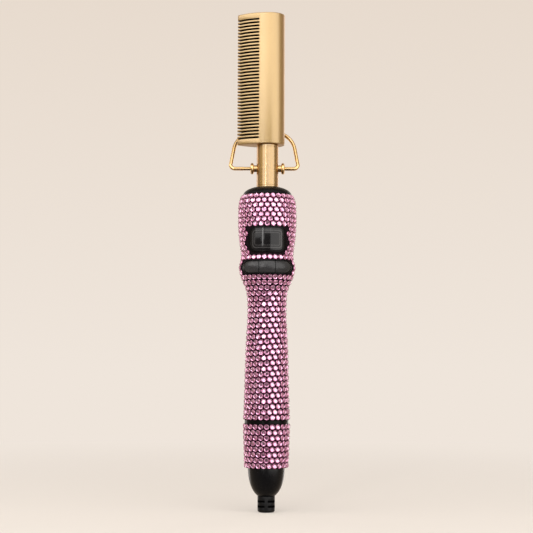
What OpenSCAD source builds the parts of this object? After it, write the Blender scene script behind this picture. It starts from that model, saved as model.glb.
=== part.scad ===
// Hot comb with a stone-covered handle, an electric comb head and a wire stand.
// Upright: +Z runs up the handle to the head, the keys face -Y, the teeth point to -X.
// The origin is on the handle's axis at its slimmest place, where the hand closes.

/* [Comb head] */
// Length of the comb head
head_len = 77.4; // [60:0.2:90]
// Width from the tooth tips to the back of the spine
head_w = 27.7; // [26:0.1:32]
// Thickness over the round spine
head_thick = 17; // [16:0.5:18]
// Distance from the tube's axis to the back of the spine
spine_reach = 9.9; // [9:0.1:11]
// Thickness of a tooth at its tip
tip_thick = 3.2; // [2.4:0.1:4]
// Distance from one slot to the next
slot_pitch = 1.945; // [1.7:0.005:2.4]
// Width of a slot between two teeth
slot_w = 1; // [0.7:0.05:1.2]
// Depth of a slot, from the tips
slot_depth = 12.8; // [9:0.1:13]
// Solid metal from the head's upper end to the first slot's middle
top_block = 3.9; // [3:0.1:5]
// Least solid metal from the head's lower end to the last slot's middle
end_block = 3.1; // [2:0.1:5]

/* [Heater] */
// Length of the heater in the head
heater_len = 60; // [40:1:62]
// Width of the heater
heater_w = 5.8; // [4.5:0.1:6]
// Thickness of the heater's ceramic
heater_t = 2.1; // [1.6:0.1:2.2]
// Thickness of a contact plate
contact_t = 0.6; // [0.4:0.1:0.7]
// Wall of the insulating sleeve
sleeve_t = 0.3; // [0.2:0.05:0.35]

/* [Tube] */
// Outer diameter of the barrel tube
tube_d = 12.8; // [12.4:0.1:13.6]
// Wall of the barrel tube
tube_wall = 1; // [0.8:0.1:1.2]
// Length of tube that shows between the nose cap and the head
tube_out = 25; // [22:0.2:32]
// Length of the head's spigot in the tube
spigot_len = 10; // [6:0.5:10]
// Radius of the flange that holds the tube in the handle
tube_flange_r = 9; // [8:0.1:10]

/* [Stand] */
// Diameter of the stand's wire
wire_d = 2.2; // [1.6:0.1:2.4]
// Distance from the pivot down from the head's lower end
pivot_drop = 13.8; // [12:0.2:15]
// Half of the stand's width at its feet, to the wire's middle
bail_half_w = 20.1; // [18:0.1:22]
// Height of the stand from its pivot to the top bar's middle
bail_h = 25.6; // [23:0.1:27]
// Lean of the legs towards each other
leg_lean = 9; // [5:0.5:11]
// Bend radius of the stand's top corners
top_bend = 14; // [11:0.5:14]
// Bend radius of the stand's feet
foot_bend = 2.5; // [2:0.1:3.5]
// How far the stand has slid to the teeth's side in its eyelets
bail_slide = 1.9; // [0:0.1:2.2]
// Half of the gap between the wire's two ends
wire_end = 6.2; // [5.8:0.1:6.6]
// Diameter of an eyelet's flange
eyelet_d = 6.7; // [5:0.1:7]
// Thickness of an eyelet's flange
eyelet_t = 2; // [1.2:0.1:2.2]
// Distance from the tube's axis to an eyelet's outer face
eyelet_reach = 10; // [9.4:0.1:10.6]
// Diameter of an eyelet's neck
neck_d = 4; // [3.4:0.1:4.4]

/* [Handle shells] */
// Length of the handle from the waist up to the nose cap
upper_len = 66.2; // [66:0.2:70]
// Length of the handle from the waist down to the seam ring
lower_len = 63.6; // [50:0.1:80]
// Wall of the shells
shell_wall = 2; // [1.6:0.1:2.4]
// Radius of the shells' slimmest place
waist_r = 10.55; // [10:0.05:11.5]
// Radius of the shells round the window
barrel_r = 16.15; // [15.8:0.05:17]
// Radius of the ridge round the keys
ridge_r = 15.6; // [15.2:0.05:16]
// Radius of the groove between the keys and the window
groove_r = 14.3; // [14:0.05:14.8]
// Radius of the shells at the nose cap
nose_r = 14.1; // [13.6:0.05:14.6]
// Radius of the shells at the seam ring
seam_end_r = 12.7; // [12.4:0.05:13.4]
// Height of the nose cap above the shells
nose_h = 4.8; // [3:0.1:6]

/* [Display] */
// Distance from the nose cap down to the window's middle
window_drop = 26.7; // [26:0.1:27.5]
// Width of the window's bezel
bezel_w = 21.4; // [20:0.1:22]
// Height of the window's bezel
bezel_h = 14.6; // [13:0.1:15]
// Width of the lens
lens_w = 19; // [17.6:0.1:19.4]
// Height of the lens
lens_h = 12.8; // [11.6:0.1:13]
// Thickness of the lens
lens_t = 1.4; // [1:0.1:1.6]
// Forward lean of the window
window_tilt = 4; // [2:0.5:5]
// Width of the display cell
cell_w = 16; // [14:0.1:16.4]
// Height of the display cell
cell_h = 10.4; // [9:0.1:10.6]
// Thickness of the display cell
cell_t = 2; // [1.4:0.1:2.2]

/* [Keys] */
// Distance from the window's middle down to the keys' middle
key_drop = 15.8; // [15.5:0.1:16.2]
// Width of the three keys together
keys_w = 26.5; // [25:0.1:27]
// Height of a key
keys_h = 6.6; // [6:0.1:7]
// Radius of the keys' crown, from the handle's axis
key_crown_r = 16.7; // [16.3:0.1:17]
// Width of the middle key
middle_key_w = 9.6; // [8:0.1:10.4]
// Gap between two keys
key_gap = 0.3; // [0.25:0.05:0.4]
// Travel of a key
key_travel = 0.5; // [0.3:0.05:0.5]
// Width of the dark rim round the keys
rim_w = 0.5; // [0.5:0.1:1]

/* [Board] */
// Width of the main board
board_w = 20; // [17:0.5:20]
// Thickness of the main board
board_t = 1.6; // [1:0.1:1.6]
// Distance from the handle's axis to the board's front face
board_y = 5.2; // [5:0.1:5.4]
// Width of a key switch
switch_w = 5; // [4:0.1:5]
// Height of a key switch off the board
switch_t = 1.7; // [1.2:0.1:1.8]

/* [Tail] */
// Height of the seam ring
seam_h = 2.3; // [1.5:0.1:4]
// Outer radius of the seam ring
seam_r = 12.6; // [12:0.1:12.8]
// Length of the tail collar
collar_len = 25; // [22:0.1:34]
// Radius of the collar at its upper end
collar_top_r = 12.8; // [12.6:0.05:13.4]
// Radius of the collar at its lower end
collar_end_r = 12; // [11.8:0.05:12.6]
// Wall of the collar
collar_wall = 2; // [1.6:0.1:2.2]
// Radius of the tail cap under the collar
cap_r = 10.6; // [10.4:0.1:11.4]
// Length of the tail cap below the collar
cap_len = 16.1; // [14:0.1:20]
// Radius of the strain relief
relief_r = 5; // [4.4:0.1:5.4]
// Length of the strain relief
relief_len = 9; // [7:0.1:14]
// Radius of the cord hole in the strain relief
gland_r = 3; // [2.4:0.1:3.1]
// Depth of the cord hole in the strain relief
gland_len = 8; // [5:0.5:12]
// Radius of the strain relief's stem in the tail cap
stem_r = 3.5; // [3.3:0.1:3.6]
// Radius of the swivel core
core_r = 5; // [4.6:0.1:5.2]

/* [Stones] */
// Diameter of a stone
stone_d = 3; // [2.6:0.05:3.05]
// Height of a stone
stone_h = 1.2; // [0.8:0.05:1.4]
// Height of a stone's straight rim
stone_rim = 0.35; // [0.2:0.05:0.5]
// Number of stones in a row round the window part
barrel_row_count = 29; // [24:1:29]
// Least distance between two rows round the window part
barrel_pitch = 2.66; // [2.66:0.02:3.2]
// Least distance between two rows down the grip
grip_pitch = 3.06; // [3.06:0.02:3.6]
// Distance between two stones in a row down the grip
grip_spacing = 3.35; // [3.3:0.05:4]
// Rise of the grip's rows across the handle, at their steepest
row_slant = 0.08; // [0:0.01:0.1]
// Least distance between two rows round the collar
collar_pitch = 3.08; // [3.08:0.02:3.6]
// Number of stones in a row round the collar
collar_row_count = 24; // [20:1:25]

/* [Hidden] */

fit = 0.1;          // clearance of fixed pieces that slot together
run = 0.05;         // radial clearance of pieces that turn in each other
rest_gap = 0.2;     // clearance of a moving piece from what it rests on
glue = 0.04;        // thickness of the glue under a stone
stone_gap = 0.14;   // distance of the rows of stones from the keys' rim
side_gap = 0.05;    // least distance of a stone from the window and the keys' rim
far = 40;           // reach of a cut that passes a piece

tube_r = tube_d / 2;
bore_r = tube_r - tube_wall;
nose_top = upper_len + nose_h;
window_z = upper_len - window_drop;
key_z = window_z - key_drop;
head_z = nose_top + tube_out;
pivot_z = head_z - pivot_drop;
shell_end = -lower_len;
seam_end = shell_end - seam_h;
collar_end = seam_end - collar_len;
cap_end = collar_end - cap_len;
relief_top = cap_end - rest_gap;
relief_end = relief_top - relief_len;

// ---- comb head -------------------------------------------------------------------------

spine_r = head_thick / 2;
tip_r = tip_thick / 2;
spine_x = spine_reach - spine_r;
tip_x = spine_reach - head_w + tip_r;
tooth_len = spine_x - tip_x;
flank_r = (tooth_len * tooth_len + spine_r * spine_r - tip_r * tip_r) / (2 * (spine_r - tip_r));
flank_turn = asin(tooth_len / (flank_r - tip_r));
slot_count = floor((head_len - top_block - end_block) / slot_pitch) + 1;
first_slot = head_len - top_block - (slot_count - 1) * slot_pitch;
pocket_w = heater_w + 2 * (sleeve_t + 4 * fit + 0.1);
pocket_t = heater_t + 2 * (contact_t + sleeve_t + 2 * fit);
pocket_x = 0.5;
heater_z = head_z - spigot_len / 2;

// Points of an arc about (cx, cy), from angle a to angle b
function arc(cx, cy, r, a, b, steps) =
  [for (i = [0:steps]) let (t = a + (b - a) * i / steps) [cx + r * cos(t), cy + r * sin(t)]];

// Cross-section: a round spine, two long flanks that close on the teeth and round tips
module head_section() {
  polygon(concat(
    arc(spine_x, 0, spine_r, -90, 90, 18),
    arc(spine_x, spine_r - flank_r, flank_r, 90, 90 + flank_turn, 9),
    arc(tip_x, 0, tip_r, 90 + flank_turn, 270 - flank_turn, 8),
    arc(spine_x, flank_r - spine_r, flank_r, 270 - flank_turn, 270, 9)));
}

// A slot with a round root, which runs from the tips into the flanks
module tooth_slot() {
  root_x = spine_reach - head_w + slot_depth - slot_w / 2;
  translate([root_x - far, -far / 2, -slot_w / 2]) cube([far, far, slot_w]);
  translate([root_x, 0, 0]) rotate([90, 0, 0]) cylinder(r = slot_w / 2, h = far, center = true, $fn = 24);
}

module comb_head() {
  color([0.85, 0.68, 0.4])
  difference() {
    union() {
      translate([0, 0, head_z]) linear_extrude(head_len) head_section();
      translate([0, 0, head_z - spigot_len]) cylinder(r = bore_r - run, h = spigot_len + 1, $fn = 64);
    }
    for (i = [0:slot_count - 1])
      translate([0, 0, head_z + first_slot + i * slot_pitch]) tooth_slot();
    translate([pocket_x - pocket_w / 2, -pocket_t / 2, head_z - spigot_len - 1])
      cube([pocket_w, pocket_t, spigot_len + heater_len + 6]);
  }
}

// ---- heater ----------------------------------------------------------------------------

module heater_element() {
  color([0.9, 0.9, 0.86])
  translate([pocket_x - heater_w / 2, -heater_t / 2, heater_z]) cube([heater_w, heater_t, heater_len]);
}

// Two aluminium plates against the ceramic, each with a tail that its lead is crimped to
module heater_contacts() {
  color([0.75, 0.76, 0.78])
  for (side = [-1, 1])
    translate([pocket_x, side * (heater_t / 2 + contact_t / 2), heater_z]) {
      translate([-heater_w / 2, -contact_t / 2, 0]) cube([heater_w, contact_t, heater_len]);
      translate([side * contact_x - tail_w / 2, -contact_t / 2, -tail_len]) cube([tail_w, contact_t, tail_len]);
    }
}
tail_len = 6.5;
tail_w = 2;
contact_x = 1.5;

module heater_sleeve() {
  inner_w = heater_w + 2 * fit;
  inner_t = heater_t + 2 * contact_t + 2 * fit;
  color([0.75, 0.45, 0.15])
  translate([pocket_x, 0, heater_z + heater_len / 2])
    difference() {
      cube([inner_w + 2 * sleeve_t, inner_t + 2 * sleeve_t, heater_len + 2], center = true);
      cube([inner_w, inner_t, heater_len + 4], center = true);
    }
}

module thermistor() {
  color([0.2, 0.2, 0.22])
  translate([pocket_x, 0, heater_z + heater_len + fit]) {
    cylinder(r = 0.9, h = 2.4, $fn = 24);
    translate([0, 0, 2.4]) sphere(r = 0.9, $fn = 24);
  }
}

// A round lead along a list of points, each stretch run a little past its ends
module lead(points, r) {
  past = r / 2;
  for (i = [0:len(points) - 2]) {
    v = points[i + 1] - points[i];
    low = i > 0 ? past : 0;
    high = i < len(points) - 2 ? past : 0;
    translate(points[i])
      rotate([0, acos(v.z / norm(v)), atan2(v.y, v.x)])
        translate([0, 0, -low]) cylinder(r = r, h = norm(v) + low + high, $fn = 20);
  }
}

lead_r = 0.8;
lead_x = 1.6;
lead_y = -bore_r + lead_r + 0.6;

module heater_leads() {
  bend_z = pivot_z - neck_d;
  tail_z = heater_z - tail_len;
  color([0.85, 0.85, 0.8])
  for (side = [-1, 1])
    lead([[side * lead_x, lead_y, board_top],
          [side * lead_x, lead_y, bend_z - 3],
          [pocket_x + side * contact_x, side * (heater_t + contact_t) / 2, tail_z - 2],
          [pocket_x + side * contact_x, side * (heater_t + contact_t) / 2, tail_z]], lead_r);
}

module thermal_fuse() {
  fuse_r = 1.2;
  color([0.9, 0.88, 0.8])
  translate([0, bore_r - fuse_r - fit, tube_end + 4]) {
    cylinder(r = fuse_r, h = 9, $fn = 32);
    translate([0, 0, -2]) cylinder(r = fuse_r / 3, h = 13, $fn = 16);
  }
}

// ---- tube ------------------------------------------------------------------------------

flange_t = 1.5;
sleeve_h = 7;
sleeve_end = upper_len - sleeve_h;
tube_end = sleeve_end - fit - flange_t;
clamp_t = 2.8;
clamp_top = tube_end - fit;
ledge_t = 1.4;
ledge_top = clamp_top - clamp_t - fit;

module barrel_tube() {
  color([0.86, 0.68, 0.38])
  difference() {
    union() {
      translate([0, 0, tube_end]) cylinder(r = tube_r, h = head_z - tube_end, $fn = 72);
      translate([0, 0, tube_end]) cylinder(r = tube_flange_r, h = flange_t, $fn = 72);
    }
    translate([0, 0, tube_end - 1]) cylinder(r = bore_r, h = head_z - tube_end + 2, $fn = 72);
    translate([0, 0, pivot_z]) rotate([0, 90, 0])
      cylinder(r = neck_d / 2 + run, h = 3 * tube_r, center = true, $fn = 40);
  }
}

// Mica ring under the tube's flange, clamped between the nose cap and the shells' ledge
module tube_clamp() {
  color([0.55, 0.5, 0.42])
  translate([0, 0, clamp_top - clamp_t])
    difference() {
      cylinder(r = inner_r(clamp_top - clamp_t) - 2 * fit, h = clamp_t, $fn = 64);
      translate([0, 0, -1]) cylinder(r = bore_r, h = clamp_t + 2, $fn = 64);
      for (a = [60:120:300])
        rotate([0, 0, a]) translate([tube_flange_r + 2, 0, -1]) cylinder(r = 1.2, h = clamp_t + 2, $fn = 24);
    }
}

// ---- wire stand ------------------------------------------------------------------------

wire_r = wire_d / 2;
foot_r = wire_r - 0.06;
bail_lean = asin((spine_r + wire_r + rest_gap) / bail_h);

// Turned eyelet: a tail that is spread inside the tube, a neck and a flange with a round edge
module eyelet(side) {
  edge = eyelet_t / 2;
  tail_x = sqrt(pow(bore_r, 2) - pow(neck_d / 2 + 0.5, 2)) - fit;
  translate([0, 0, pivot_z])
    rotate([0, side * 90, 0])
      rotate_extrude($fn = 48)
        polygon(concat(
          [[foot_r + run, tail_x - 0.8], [neck_d / 2 + 0.5, tail_x - 0.8], [neck_d / 2 + 0.5, tail_x],
           [neck_d / 2, tail_x], [neck_d / 2, eyelet_reach - eyelet_t]],
          arc(eyelet_d / 2 - edge, eyelet_reach - edge, edge, -90, 90, 8),
          [[foot_r + run, eyelet_reach]]));
}

module left_eyelet() {
  color([0.88, 0.7, 0.4]) eyelet(-1);
}

module right_eyelet() {
  color([0.88, 0.7, 0.4]) eyelet(1);
}

corner_z = bail_h - top_bend;
corner_x = bail_half_w - (top_bend + corner_z * sin(leg_lean)) / cos(leg_lean);
foot_x = bail_half_w - foot_bend * (1 + sin(leg_lean)) / cos(leg_lean);
foot_start = eyelet_reach + bail_slide + 0.5;

// The wire's middle line in the stand's own plane: foot, bend, leaning leg and top bend
right_line = concat(
  [[foot_start, 0]],
  arc(foot_x, foot_bend, foot_bend, -90, leg_lean, 7),
  arc(corner_x, corner_z, top_bend, leg_lean, 90, 9));
wire_line = concat(right_line, [for (i = [len(right_line) - 1:-1:0]) [-right_line[i].x, right_line[i].y]]);

wire_sides = 16;
wire_last = len(wire_line) - 1;

function unit(v) = v / norm(v);

// Direction of the wire at point i
function wire_way(i) =
  let (a = max(i - 1, 0), b = min(i + 1, wire_last))
  unit((i > a ? unit(wire_line[i] - wire_line[a]) : [0, 0]) + (b > i ? unit(wire_line[b] - wire_line[i]) : [0, 0]));

// Round wire bent along its middle line
module bent_wire() {
  rings = [for (i = [0:wire_last]) for (k = [0:wire_sides - 1])
    let (way = wire_way(i), t = 360 * k / wire_sides)
    [wire_line[i].x - wire_r * cos(t) * way.y, wire_r * sin(t), wire_line[i].y + wire_r * cos(t) * way.x]];
  walls = [for (i = [0:wire_last - 1]) for (k = [0:wire_sides - 1])
    let (a = i * wire_sides, b = a + wire_sides, n = (k + 1) % wire_sides)
    [a + k, a + n, b + n, b + k]];
  polyhedron(rings, concat(
    walls,
    [[for (k = [wire_sides - 1:-1:0]) k], [for (k = [0:wire_sides - 1]) wire_last * wire_sides + k]]));
}

module stand_bail() {
  color([0.9, 0.72, 0.4])
  translate([-bail_slide, 0, pivot_z])
    rotate([-bail_lean, 0, 0]) {
      bent_wire();
      for (side = [-1, 1])
        translate([side * wire_end, 0, 0]) rotate([0, side * 90, 0])
          cylinder(r = foot_r, h = foot_start - wire_end + 1, $fn = 32);
    }
}

// ---- handle shells ---------------------------------------------------------------------

// Outline of the shells: height and radius at each change of form, from the seam ring up
outline = [
  [shell_end, seam_end_r],
  [-0.74 * lower_len, seam_end_r - 0.6],
  [-0.54 * lower_len, waist_r + 1.3],
  [-0.36 * lower_len, waist_r + 0.95],
  [-0.22 * lower_len, waist_r + 0.5],
  [-0.08 * lower_len, waist_r],
  [key_z - 19.7, waist_r],
  [key_z - 14.7, waist_r + 0.45],
  [key_z - 10.8, waist_r + 1.5],
  [key_z - 8.2, groove_r - 1],
  [key_z - 5.6, groove_r],
  [key_z - 3, ridge_r - 0.55],
  [key_z + 0.6, ridge_r],
  [key_z + 3.6, ridge_r - 0.65],
  [key_z + 6.2, groove_r],
  [window_z - 4, groove_r + 0.6],
  [window_z + 3, barrel_r - 0.4],
  [window_z + 10, barrel_r],
  [upper_len - 9, barrel_r],
  [upper_len - 4.2, barrel_r - 0.4],
  [upper_len - 1.6, nose_r + 0.85],
  [upper_len, nose_r]];

outline_last = len(outline) - 1;

// Slope of the outline at a station
function station_slope(i) =
  let (a = max(i - 1, 0), b = min(i + 1, outline_last))
  (outline[b].y - outline[a].y) / (outline[b].x - outline[a].x);

// Smooth radius of the shells at height z, through every station
function outline_r(z) =
  let (
    i = min(max([for (k = [0:outline_last]) outline[k].x <= z ? k : 0]), outline_last - 1),
    gap = outline[i + 1].x - outline[i].x,
    t = min(max((z - outline[i].x) / gap, 0), 1))
  (1 + 2 * t) * pow(1 - t, 2) * outline[i].y
    + t * pow(1 - t, 2) * gap * station_slope(i)
    + t * t * (3 - 2 * t) * outline[i + 1].y
    + t * t * (t - 1) * gap * station_slope(i + 1);

function inner_r(z) = outline_r(z) - shell_wall;

outline_steps = 52;
function step_z(i) = shell_end + (upper_len - shell_end) * i / outline_steps;

// The whole handle wall, with the ledge that carries the tube clamp
module handle_wall() {
  rotate_extrude($fn = 96)
    polygon(concat(
      [for (i = [0:outline_steps]) [outline_r(step_z(i)), step_z(i)]],
      [for (i = [outline_steps:-1:0]) [inner_r(step_z(i)), step_z(i)]]));
  translate([0, 0, ledge_top - ledge_t])
    difference() {
      cylinder(r = inner_r(ledge_top) + 0.8, h = ledge_t, $fn = 96);
      translate([0, 0, -1]) cylinder(r = inner_r(ledge_top) - 1.6, h = ledge_t + 2, $fn = 96);
    }
}

module half_space(side) {
  translate([-far, side < 0 ? -far : 0, -4 * far]) cube([2 * far, far, 8 * far]);
}

// A rounded rectangle in the XZ plane that runs forward from depth y
module window_prism(w, h, corner, y) {
  translate([0, -y, window_z]) rotate([90, 0, 0]) linear_extrude(far) rounded_rect(w, h, corner);
}

module rounded_rect(w, h, corner) {
  square([w - 2 * corner, h], center = true);
  square([w, h - 2 * corner], center = true);
  for (x = [-1, 1])
    for (y = [-1, 1])
      translate([x * (w / 2 - corner), y * (h / 2 - corner)]) circle(r = corner, $fn = 32);
}

// A long oval in the XZ plane that runs forward from depth y
module key_prism(w, h, y) {
  translate([0, -y, key_z]) rotate([90, 0, 0]) linear_extrude(far) {
    square([w - h, h], center = true);
    for (x = [-1, 1])
      translate([x * (w - h) / 2, 0]) circle(r = h / 2, $fn = 48);
  }
}

rim_gap = 0.2;
opening_w = keys_w + 2 * (rim_gap + rim_w);
opening_h = keys_h + 2 * (rim_gap + rim_w);
rim_back = board_y + 0.6;
bezel_corner = 4.2;
bezel_back = board_y + 1.6;

board_top = ledge_top - ledge_t;
board_low = key_z - 5.5;
tongue_low = key_z - 10.6;
tongue_w = 12;
boss_r = 1.9;
screw_r = 0.9;
boss_spots = [[-board_w / 2 + 2.2, board_top - 2.5], [board_w / 2 - 2.2, board_top - 2.5], [0, tongue_low + 2.3]];

// Screw bosses that carry the board, from the front wall back to the board's face
module board_bosses() {
  for (spot = boss_spots) {
    wall_y = sqrt(pow(inner_r(spot.y), 2) - pow(spot.x, 2)) + 0.6 * shell_wall;
    translate([spot.x, -board_y, spot.y]) rotate([90, 0, 0])
      difference() {
        cylinder(r = boss_r, h = wall_y - board_y, $fn = 32);
        translate([0, 0, -1]) cylinder(r = screw_r + run, h = screw_len + 1.2, $fn = 24);
      }
  }
}
screw_len = 3.2;

module front_shell() {
  color([0.06, 0.06, 0.06])
  difference() {
    intersection() {
      union() {
        handle_wall();
        board_bosses();
      }
      half_space(-1);
    }
    window_prism(bezel_w + 2 * fit, bezel_h + 2 * fit, bezel_corner + fit, bezel_back);
    key_prism(opening_w + 2 * fit, opening_h + 2 * fit, rim_back);
    for (spot = boss_spots)
      translate([spot.x, -board_y + 1, spot.y]) rotate([90, 0, 0])
        cylinder(r = screw_r + run, h = screw_len + 1.2, $fn = 24);
  }
}

module rear_shell() {
  color([0.06, 0.06, 0.06])
  intersection() {
    handle_wall();
    half_space(1);
  }
}

// Domed black cap with a sleeve inside the shells that centres the hot tube
module nose_cap() {
  last = acos((tube_r + run) / nose_r);
  rise = nose_h / sin(last);
  steps = 12;
  sleeve_r = inner_r(upper_len) - 2 * fit;
  color([0.05, 0.05, 0.05])
  rotate_extrude($fn = 96)
    polygon(concat(
      [[tube_r + run, sleeve_end], [sleeve_r, sleeve_end], [sleeve_r, upper_len + fit], [nose_r, upper_len + fit]],
      [for (i = [0:steps]) [nose_r * cos(last * i / steps), upper_len + 2 * fit + rise * sin(last * i / steps)]]));
}

// ---- display ---------------------------------------------------------------------------

bezel_r = outline_r(window_z) + 0.35;
bezel_t = 2.6;
ledge_w = 1.3;

// A tube about the handle's axis that leans forward with the window
module window_ring(outer, inner) {
  translate([0, -bezel_r, window_z]) rotate([window_tilt, 0, 0]) translate([0, bezel_r, 0])
    difference() {
      cylinder(r = outer, h = far, center = true, $fn = 96);
      cylinder(r = inner, h = far + 2, center = true, $fn = 96);
    }
}

module display_bezel() {
  color([0.04, 0.04, 0.04])
  difference() {
    intersection() {
      window_ring(bezel_r, bezel_r - bezel_t);
      window_prism(bezel_w, bezel_h, bezel_corner, bezel_back);
    }
    intersection() {
      window_ring(bezel_r + 2, bezel_r - lens_t);
      window_prism(lens_w + 2 * fit, lens_h + 2 * fit, bezel_corner - 0.8, bezel_back);
    }
    window_prism(lens_w - 2 * ledge_w, lens_h - 2 * ledge_w, 1, 0);
  }
}

module display_lens() {
  color([0.1, 0.1, 0.1])
  intersection() {
    window_ring(bezel_r + 0.3, bezel_r + 0.05 - lens_t);
    window_prism(lens_w, lens_h, bezel_corner - 0.9, bezel_back);
  }
}

cell_front = board_y + 4.4;
frame_front = cell_front - 1;

module lcd_cell() {
  color([0.25, 0.3, 0.28])
  translate([-cell_w / 2, -cell_front, window_z - cell_h / 2]) cube([cell_w, cell_t, cell_h]);
}

// Open frame that holds the cell off the board
module lcd_frame() {
  wall = 1;
  color([0.85, 0.85, 0.85])
  difference() {
    translate([-cell_w / 2 - wall, -frame_front, window_z - cell_h / 2 - wall])
      cube([cell_w + 2 * wall, frame_front - board_y - fit, cell_h + 2 * wall]);
    translate([-cell_w / 2 - fit, -frame_front - 1, window_z - cell_h / 2 - fit])
      cube([cell_w + 2 * fit, frame_front + 1 - cell_front + cell_t + fit, cell_h + 2 * fit]);
    translate([-cell_w / 2 + wall, -frame_front - 1, window_z - cell_h / 2 + wall])
      cube([cell_w - 2 * wall, far, cell_h - 2 * wall]);
  }
}

// ---- keys ------------------------------------------------------------------------------

rim_r = ridge_r + 0.3;
rim_in = ridge_r - 2.4;
flange_r = rim_in - rest_gap;
key_flange_t = 1.2;
key_back = board_y + switch_t + 0.7;
plunger_t = 0.8;
stem_x = board_w / 2 - switch_w / 2 - 0.2;

module key_surround() {
  color([0.03, 0.03, 0.03])
  difference() {
    intersection() {
      translate([0, 0, key_z])
        difference() {
          cylinder(r = rim_r, h = far, center = true, $fn = 96);
          cylinder(r = rim_in, h = far + 2, center = true, $fn = 96);
        }
      key_prism(opening_w, opening_h, rim_back + fit);
    }
    key_prism(keys_w + 2 * rim_gap, keys_h + 2 * rim_gap, 0);
  }
}

// The three keys' common crowned form, before it is split
module key_crown() {
  edge_drop = 1;
  half = keys_h / 2;
  crown = (half * half + edge_drop * edge_drop) / (2 * edge_drop);
  spread = asin(half / crown);
  intersection() {
    translate([0, 0, key_z])
      rotate_extrude($fn = 96)
        polygon(concat(
          [[flange_r - 0.5, -half], [flange_r - 0.5, half]],
          [for (p = arc(key_crown_r - crown, 0, crown, spread, -spread, 8)) p]));
    key_prism(keys_w, keys_h, key_back);
  }
}

// Inner flange that keeps a key behind the rim
module key_flange() {
  intersection() {
    translate([0, 0, key_z])
      difference() {
        cylinder(r = flange_r, h = far, center = true, $fn = 96);
        cylinder(r = flange_r - key_flange_t, h = far + 2, center = true, $fn = 96);
      }
    key_prism(keys_w, keys_h + 1.4, key_back);
  }
}

module key_between(low_x, high_x, x) {
  reach = sqrt(pow(flange_r, 2) - pow(x, 2)) - 0.4;
  stem_end = board_y + switch_t + plunger_t + key_travel + run;
  intersection() {
    union() {
      key_crown();
      key_flange();
    }
    translate([low_x, -far, key_z - far / 2]) cube([high_x - low_x, far, far]);
  }
  translate([x, -stem_end, key_z]) rotate([90, 0, 0]) cylinder(r = 1.3, h = reach - stem_end, $fn = 32);
}

module minus_key() {
  color([0.16, 0.16, 0.17])
  key_between(-far / 2, -middle_key_w / 2 - key_gap / 2, -stem_x);
}

module plus_key() {
  color([0.16, 0.16, 0.17])
  key_between(middle_key_w / 2 + key_gap / 2, far / 2, stem_x);
}

module power_key() {
  groove = 0.35;
  color([0.16, 0.16, 0.17])
  difference() {
    key_between(-middle_key_w / 2 + key_gap / 2, middle_key_w / 2 - key_gap / 2, 0);
    translate([-groove / 2, -far - key_crown_r + groove, key_z - far / 2]) cube([groove, far, far]);
  }
}

// ---- board -----------------------------------------------------------------------------

module main_board() {
  color([0.1, 0.35, 0.18])
  difference() {
    translate([0, -board_y, 0]) {
      translate([-board_w / 2, 0, board_low]) cube([board_w, board_t, board_top - board_low]);
      translate([-tongue_w / 2, 0, tongue_low]) cube([tongue_w, board_t, board_low - tongue_low]);
    }
    for (spot = boss_spots)
      translate([spot.x, 0, spot.y]) rotate([90, 0, 0])
        cylinder(r = screw_r + run, h = far, center = true, $fn = 24);
  }
}

// Power triac, smoothing capacitor and controller on the board's back
module board_parts() {
  back = -board_y + board_t;
  capacitor_r = 4;
  capacitor_len = 9;
  triac_w = 10;
  triac_t = 4.6;
  chip_w = 7;
  chip_t = 1.2;
  capacitor_z = key_z + chip_w / 2 + capacitor_r + 1.5;
  triac_low = capacitor_z + capacitor_r + 3;
  color([0.12, 0.12, 0.14]) {
    translate([-triac_w / 2, back, triac_low]) cube([triac_w, triac_t, board_top - 4.5 - triac_low]);
    translate([-chip_w / 2, back, key_z - chip_w / 2]) cube([chip_w, chip_t, chip_w]);
  }
  color([0.2, 0.25, 0.4])
    translate([0, back, capacitor_z]) rotate([-90, 0, 0]) cylinder(r = capacitor_r, h = capacitor_len, $fn = 40);
}

module board_screws() {
  color([0.7, 0.7, 0.72])
  for (spot = boss_spots)
    translate([spot.x, -board_y + board_t, spot.y]) rotate([90, 0, 0]) {
      translate([0, 0, -1]) cylinder(r = 1.7, h = 1, $fn = 32);
      cylinder(r = screw_r, h = board_t + screw_len, $fn = 24);
    }
}

module key_switches() {
  color([0.3, 0.3, 0.32])
  for (x = [-stem_x, 0, stem_x])
    translate([x, -board_y, key_z]) {
      translate([-switch_w / 2, -switch_t, -switch_w / 2]) cube([switch_w, switch_t, switch_w]);
      rotate([90, 0, 0]) cylinder(r = 1.2, h = switch_t + plunger_t, $fn = 24);
    }
}

power_lead_r = 0.9;

module power_leads() {
  lead_spot = core_r + power_lead_r + fit;
  depth = board_y - board_t / 2;
  color([0.6, 0.12, 0.1])
  for (side = [-1, 1])
    translate([side * sqrt(pow(lead_spot, 2) - pow(depth, 2)), -depth, bush_top])
      cylinder(r = power_lead_r, h = tongue_low - bush_top, $fn = 20);
}

// ---- tail ------------------------------------------------------------------------------

collar_spigot = 6;
cap_spigot = 5;
bush_t = 4.4;
bush_top = collar_end + cap_spigot + fit + bush_t;
ring_t = 0.4;
ring_h = 2.2;
core_floor = cap_end + 5.2;

module seam_ring() {
  color([0.03, 0.03, 0.03])
  translate([0, 0, seam_end + fit / 2])
    difference() {
      cylinder(r = seam_r, h = seam_h - fit, $fn = 96);
      translate([0, 0, -1]) cylinder(r = inner_r(shell_end), h = seam_h + 2, $fn = 96);
    }
}

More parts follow.
